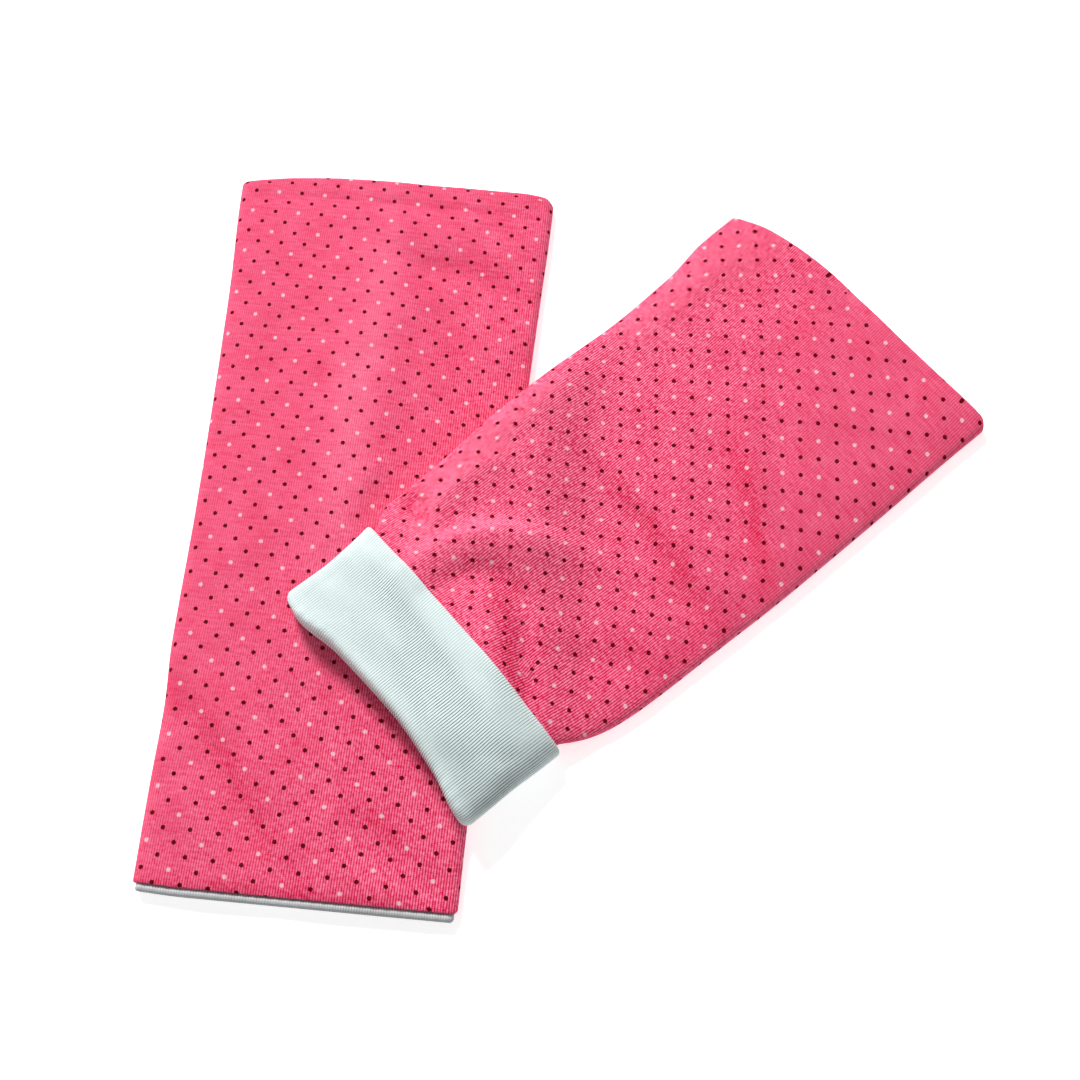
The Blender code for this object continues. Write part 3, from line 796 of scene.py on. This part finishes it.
def make_lining(warmer, wall, shown, columns, material, rib_depth):
    """One ribbed lining tube, its ribs raised on the faces that show."""
    places = np.array(wall)
    lengths = cloth_lengths(places)
    raised = np.array([shown(along, depth) for along, depth in places], float)
    profile = np.tile(RIB_PROFILE, warmer.ribs)
    crest, _, across = surface(warmer, *(places + outward(places) * rib_depth * raised[:, None]).T, columns)
    groove, along, _ = surface(warmer, *places.T, columns)
    points = groove + (crest - groove) * profile[None, :, None]
    level = np.ones((len(places), len(columns)))
    ribs = np.arange(len(columns)) / len(RIB_PROFILE)
    showing = raised[:, None] * level
    # Painted shade in the grooves, and painted shade and highlight, on the faces that show.
    grooves = relief(warmer.lining_grooves, along, across) * showing
    shade = relief(warmer.lining_shade, along, across) * showing
    maps = {
        CLOTH_MAP: (
            closed(level * ribs, 0.0, float(warmer.ribs)),
            closed(level * lengths[:-1, None], lengths[-1], 0.0),
        ),
        PAINTED_SHADING_MAP: (closed(grooves, 0.0, 0.0), closed(shade, 0.0, 0.0)),
    }
    node = f"{warmer.name}_lining"
    make_piece(node, points, maps, material)


class Field:
    """A value that varies over a surface: a node's output, with Python's own arithmetic."""

    def __init__(self, recipe, socket):
        self.recipe = recipe
        self.socket = socket

    def __add__(self, other):
        return self.recipe.maths("ADD", self, other)

    def __sub__(self, other):
        return self.recipe.maths("SUBTRACT", self, other)

    def __mul__(self, other):
        return self.recipe.maths("MULTIPLY", self, other)

    def __truediv__(self, other):
        return self.recipe.maths("DIVIDE", self, other)

    def __mod__(self, other):
        return self.recipe.maths("FLOORED_MODULO", self, other)

    def __rsub__(self, other):
        return self.recipe.maths("SUBTRACT", other, self)

    def __rtruediv__(self, other):
        return self.recipe.maths("DIVIDE", other, self)

    def __abs__(self):
        return self.recipe.maths("ABSOLUTE", self)

    __radd__ = __add__
    __rmul__ = __mul__

    def fract(self):
        return self.recipe.maths("FRACT", self)

    def floor(self):
        return self.recipe.maths("FLOOR", self)

    def nearest(self):
        return self.recipe.maths("ROUND", self)

    def sine(self):
        return self.recipe.maths("SINE", self)

    def root(self):
        return self.recipe.maths("SQRT", self)

    def larger(self, other):
        return self.recipe.maths("MAXIMUM", self, other)

    def smaller(self, other):
        return self.recipe.maths("MINIMUM", self, other)

    def held(self):
        """The value kept from 0 to 1."""
        return self.larger(0.0).smaller(1.0)


class Recipe:
    """A material being made: its node tree, and one way to add every node."""

    def __init__(self, name):
        self.material = bpy.data.materials.new(name)
        self.material.use_nodes = True
        self.tree = self.material.node_tree
        self.shader = self.tree.nodes["Principled BSDF"]

    def node(self, kind, settings, values):
        """Adds a node of a type, makes its settings first, and fills its sockets with values or links."""
        made = self.tree.nodes.new(kind)
        for name, setting in settings.items():
            setattr(made, name, setting)
        for name, value in values.items():
            self.fill(made.inputs[name], value)
        return made

    def fill(self, socket, value):
        """Links a field to a socket, or sets the socket's own value."""
        if isinstance(value, Field):
            self.tree.links.new(value.socket, socket)
        else:
            socket.default_value = value

    def maths(self, operation, *values):
        """A Math node on values."""
        made = self.node("ShaderNodeMath", {"operation": operation}, dict(enumerate(values)))
        return Field(self, made.outputs[0])

    def map_places(self, name):
        """The two coordinates of a map."""
        source = self.node("ShaderNodeUVMap", {"uv_map": name}, {})
        split = self.node("ShaderNodeSeparateXYZ", {}, {0: Field(self, source.outputs[0])})
        return Field(self, split.outputs[0]), Field(self, split.outputs[1])

    def noise(self, x, y, layer):
        """Soft noise about 0, from -0.5 to 0.5, with grains one unit across. Far layers are unlike."""
        joined = self.node("ShaderNodeCombineXYZ", {}, {0: x, 1: y, 2: layer})
        values = {"Vector": Field(self, joined.outputs[0]), "Scale": 1.0, "Detail": NOISE_DETAIL}
        made = self.node("ShaderNodeTexNoise", {"noise_dimensions": "3D"}, values)
        return Field(self, made.outputs[0]) - 0.5

    def mix(self, share, first, second):
        """A colour between two colours."""
        settings = {"data_type": "RGBA", "blend_type": "MIX", "clamp_factor": True}
        made = self.node("ShaderNodeMix", settings, {0: share, 6: first, 7: second})
        return Field(self, made.outputs[2])

    def scale(self, colour, amount):
        """A colour made lighter or darker."""
        made = self.node("ShaderNodeVectorMath", {"operation": "SCALE"}, {0: colour, "Scale": amount})
        return Field(self, made.outputs[0])

    def bump(self, height, strength, distance):
        """A normal from a height, in metres at full strength."""
        made = self.node("ShaderNodeBump", {}, {"Strength": strength, "Distance": distance, "Height": height})
        return Field(self, made.outputs[0])

    def finish(self, varying, constant):
        """Fills the shader's sockets: first what varies over the surface, then what is the same all over."""
        for name, value in {**varying, **constant}.items():
            self.fill(self.shader.inputs[name], value)
        return self.material


def dot_mask(across, along, repeat, size, softness, fray):
    """1 on the dots of a grid that has one at each whole place, and 0 between them."""
    x = (across - across.nearest()) * repeat[0]
    y = (along - along.nearest()) * repeat[1]
    away = (x * x + y * y).root() + fray
    return ((size / 2 - away) / softness + 0.5).held()


def jersey_material(warmer, colours, knit, dots):
    """Printed pink jersey: fine wales of looped stitches, a heathered ground and a print of small dots."""
    recipe = Recipe(f"{warmer.name}_jersey")
    across, along = recipe.map_places(CLOTH_MAP)
    nap, _ = recipe.map_places(PAINTED_SHADING_MAP)
    wale = across * knit.wales
    place = wale.fract()
    crest = (place * pi).sine()
    loop = ((along * knit.courses + abs(place - 0.5) * STITCH_SLANT).fract() * pi).sine()
    height = crest * (loop * LOOP_SHARE + (1.0 - LOOP_SHARE))
    dash = recipe.noise(wale.floor() * 1.37, along * 5.0, 0.0)
    stitch = recipe.noise(wale * 0.75, along * knit.courses * 0.55, 3.0)
    streak = recipe.noise(across * 1.3, along * 9.0, 7.0)
    cloud = recipe.noise(across * 0.8, along * 0.7, 11.0)
    clear = warmer.clarity.middle + across * warmer.clarity.across + along * warmer.clarity.along
    clear = (clear + cloud * 0.4).larger(LEAST_CLEAR).smaller(1.0)
    thread = (height - THREAD_LEVEL) * 1.35 + dash * 1.4 + stitch * 1.7
    # The second map adds painted shade and highlight over the folds.
    raised = thread * clear + streak * 0.4 + cloud * 0.2 + nap + GROUND_LEVEL
    ground = recipe.mix(raised.held(), (*colours.pink, 1.0), (*colours.light_pink, 1.0))
    fray = recipe.noise(wale, along * knit.courses, 5.0) * 0.35
    repeat = warmer.print_across.repeat, warmer.print_along.repeat
    dark = dot_mask(across - 0.5, along - 0.5, repeat, dots.dark_size, dots.softness, fray)
    whole_dark = dot_mask(across, along, repeat, dots.dark_size, dots.softness, fray)
    whole_light = dot_mask(across, along, repeat, dots.light_size, 2 * dots.softness, fray)
    odd = abs(across.nearest() + along.nearest()) % 2.0
    dark = dark.larger(whole_dark * odd)
    light = whole_light * (1.0 - odd) * (stitch * 0.5 + 0.9).held()
    colour = recipe.mix(light, ground, (*colours.light_dot, 1.0))
    colour = recipe.mix(dark * (stitch * 0.3 + 0.97).held(), colour, (*colours.dark_dot, 1.0))
    return recipe.finish(
        {
            "Base Color": colour,
            "Roughness": 0.88 - dark * 0.12 + stitch * 0.08,
            "Normal": recipe.bump(height + stitch * 0.5, 0.55, 0.00022),
        },
        {
            "Sheen Weight": 0.03,
            "Sheen Roughness": 0.45,
            "Sheen Tint": (1.0, 0.6, 0.7, 1.0),
            "Specular IOR Level": 0.02,
        },
    )


def rib_material(warmer, crests, grooves, knit, clarity):
    """Ribbed mint lining: pale crests, painted shade in grooves that come and go, small loops along each rib.
    """
    recipe = Recipe(f"{warmer.name}_rib")
    rib, along = recipe.map_places(CLOTH_MAP)
    painted_groove_shade, shade = recipe.map_places(PAINTED_SHADING_MAP)
    place = rib.fract()
    crest = (place * pi).sine()
    loop = ((along * knit.rib_courses + abs(place - 0.5) * RIB_SLANT).fract() * pi).sine()
    stitch = recipe.noise(rib * 1.3, along * 1.6, 2.0)
    cloud = recipe.noise(rib * 0.05, along * 0.09, 4.0)
    dash = recipe.noise(rib.floor() * 1.37, along * 0.6, 6.0)
    # The grooves take the dark groove colour as painted shade, more where the map opens them.
    groove = ((GROOVE_LEVEL - crest) * GROOVE_SHARPNESS + dash * 0.7 + stitch * 0.8).held()
    contrast = ((rib - warmer.ribs / 2) * 0.003 + cloud + painted_groove_shade + GROOVE_OPENING).held() * clarity
    colour = recipe.mix(groove * contrast, (*crests, 1.0), (*grooves, 1.0))
    # The map's second value paints shade, and a highlight along the cuff's turned edge.
    colour = recipe.scale(colour, 1.0 + stitch * 0.16 + loop * 0.05 + shade)
    return recipe.finish(
        {
            "Base Color": colour,
            "Roughness": 0.9 + stitch * 0.06,
            "Normal": recipe.bump(crest * 0.5 + loop * 0.3 + stitch * 0.5, 0.5, 0.0002),
        },
        {
            "Sheen Weight": 0.15,
            "Sheen Roughness": 0.5,
            "Sheen Tint": WHITE,
            "Specular IOR Level": 0.18,
        },
    )


def floor_material(glow):
    """Plain pale matt floor, lit a little from below as a light table is."""
    recipe = Recipe("pale_floor")
    place = Field(recipe, recipe.node("ShaderNodeTexCoord", {}, {}).outputs["Object"])
    grain = recipe.node("ShaderNodeTexNoise", {}, {"Vector": place, "Scale": 40.0, "Detail": 3.0})
    shade = recipe.mix(Field(recipe, grain.outputs[0]), (0.93, 0.93, 0.93, 1.0), (0.95, 0.95, 0.95, 1.0))
    constant = {
        "Roughness": 0.9,
        "Specular IOR Level": 0.1,
        "Emission Color": WHITE,
        "Emission Strength": glow,
    }
    return recipe.finish({"Base Color": shade}, constant)


def shown_strip(along, depth):
    """1 on the faces of the lower lining that show: inside the warmer and round the strip."""
    return depth == STACK or along < -GAP


def shown_cuff(along, depth):
    """1 on the faces of the upper lining that show: inside, round the turn, over the cuff and its hem."""
    turned = along < TURN_RADIUS and np.hypot(along - TURN_RADIUS, depth + GAP / 2) > TURN_RADIUS - WALL / 2
    hem = along > CUFF_DEPTH - LIP_RADIUS and depth < -GAP
    return depth == STACK or depth <= -CUFF_RISE or turned or hem


class ARMWARMERS_OT_make_shells(bpy.types.Operator):
    """Makes the two printed jersey shells"""

    bl_idname = "armwarmers.make_shells"
    bl_label = "Make Shells"

    def execute(self, context):
        scene = context.scene
        cloth, colours, dots = scene.warmer_cloth, scene.warmer_colours, scene.warmer_print
        lower = jersey_material(LOWER, colours, cloth, dots)
        upper = jersey_material(UPPER, colours, cloth, dots)
        make_shell(LOWER, lower_shell_wall(LOWER, cloth), lower)
        make_shell(UPPER, upper_shell_wall(UPPER, cloth), upper)
        return {"FINISHED"}


class ARMWARMERS_OT_make_linings(bpy.types.Operator):
    """Makes the two ribbed linings, one of which is turned up as the cuff"""

    bl_idname = "armwarmers.make_linings"
    bl_label = "Make Linings"

    def execute(self, context):
        scene = context.scene
        cloth, colours = scene.warmer_cloth, scene.warmer_colours
        # The lower lining's crests take the greyer mint, which paints shade on them.
        lower = rib_material(LOWER, colours.painted_shade_mint, colours.mint_groove_shade, cloth, STRIP_CLARITY)
        upper = rib_material(UPPER, colours.mint, colours.mint_groove_shade, cloth, CUFF_CLARITY)
        depth = cloth.rib_depth
        inside = rib_columns(LOWER, SIDE_RADIUS)
        turned = rib_columns(UPPER, SIDE_RADIUS + CUFF_RISE)
        make_lining(LOWER, lower_lining_wall(LOWER, cloth), shown_strip, inside, lower, depth / 2)
        make_lining(UPPER, upper_lining_wall(UPPER, cloth), shown_cuff, turned, upper, depth)
        return {"FINISHED"}


class ARMWARMERS_OT_make_stage(bpy.types.Operator):
    """Makes the floor, the lights and the camera"""

    bl_idname = "armwarmers.make_stage"
    bl_label = "Make Stage"

    def execute(self, context):
        studio = context.scene.warmer_studio
        make_floor(studio.table)
        make_lights(context.scene, studio)
        make_camera(context.scene, studio)
        return {"FINISHED"}


def make_floor(glow):
    """A plain pale floor under the pair."""
    mesh = bpy.data.meshes.new("floor")
    near, far = -FLOOR_REACH, FLOOR_REACH
    corners = [(near, near, FLOOR), (far, near, FLOOR), (far, far, FLOOR), (near, far, FLOOR)]
    mesh.from_pydata(corners, [], [(0, 1, 2, 3)])
    mesh.materials.append(floor_material(glow))
    floor = bpy.data.objects.new("floor", mesh)
    bpy.context.scene.collection.objects.link(floor)


def make_lights(scene, studio):
    """A main light from beyond the pair and to its left, and even light from all round."""
    world = bpy.data.worlds.new("soft_sky")
    world.use_nodes = True
    sky = world.node_tree.nodes["Background"]
    sky.inputs["Color"].default_value = WHITE
    sky.inputs["Strength"].default_value = studio.sky
    scene.world = world
    scene.view_settings.view_transform = "Standard"
    lamp = bpy.data.lights.new("key_light", "AREA")
    lamp.shape = "DISK"
    lamp.size = studio.key_size
    lamp.energy = studio.key_power
    key = bpy.data.objects.new("key_light", lamp)
    aim = Vector(studio.aim)
    key.location = aim + Vector(studio.key_place)
    key.rotation_mode = "QUATERNION"
    key.rotation_quaternion = (aim - key.location).to_track_quat("-Z", "Y")
    scene.collection.objects.link(key)


def make_camera(scene, studio):
    """The camera at the photograph's angle to the table."""
    data = bpy.data.cameras.new("camera")
    data.lens = studio.lens
    camera = bpy.data.objects.new("camera", data)
    back = Vector((0.0, -sin(studio.tilt), cos(studio.tilt)))
    camera.location = Vector(studio.aim) + back * studio.distance
    camera.rotation_euler = (studio.tilt, 0.0, 0.0)
    scene.collection.objects.link(camera)
    scene.camera = camera


class ARMWARMERS_PT_panel(bpy.types.Panel):
    """Lists the pieces and their sizes"""

    bl_idname = "ARMWARMERS_PT_panel"
    bl_label = "Arm Warmers"
    bl_space_type = "VIEW_3D"
    bl_region_type = "UI"
    bl_category = "Arm Warmers"

    def draw(self, context):
        layout = self.layout
        for operator in OPERATORS:
            layout.operator(operator.bl_idname)
        for name, kind in SETTINGS.items():
            box = layout.box()
            box.label(text=kind.__doc__)
            for size in kind.__annotations__:
                box.prop(getattr(context.scene, name), size)


OPERATORS = (ARMWARMERS_OT_make_shells, ARMWARMERS_OT_make_linings, ARMWARMERS_OT_make_stage)
SETTINGS = {
    "warmer_cloth": ClothSizes,
    "warmer_colours": ClothColours,
    "warmer_print": PrintSizes,
    "warmer_studio": StudioSizes,
}
CLASSES = (*SETTINGS.values(), *OPERATORS, ARMWARMERS_PT_panel)


def register():
    for each in CLASSES:
        bpy.utils.register_class(each)
    for name, kind in SETTINGS.items():
        setattr(bpy.types.Scene, name, PointerProperty(type=kind))


def unregister():
    for name in SETTINGS:
        delattr(bpy.types.Scene, name)
    for each in reversed(CLASSES):
        bpy.utils.unregister_class(each)


def main():
    """Makes every piece in order."""
    register()
    bpy.ops.armwarmers.make_shells()
    bpy.ops.armwarmers.make_linings()
    bpy.ops.armwarmers.make_stage()


if __name__ == "__main__":
    main()
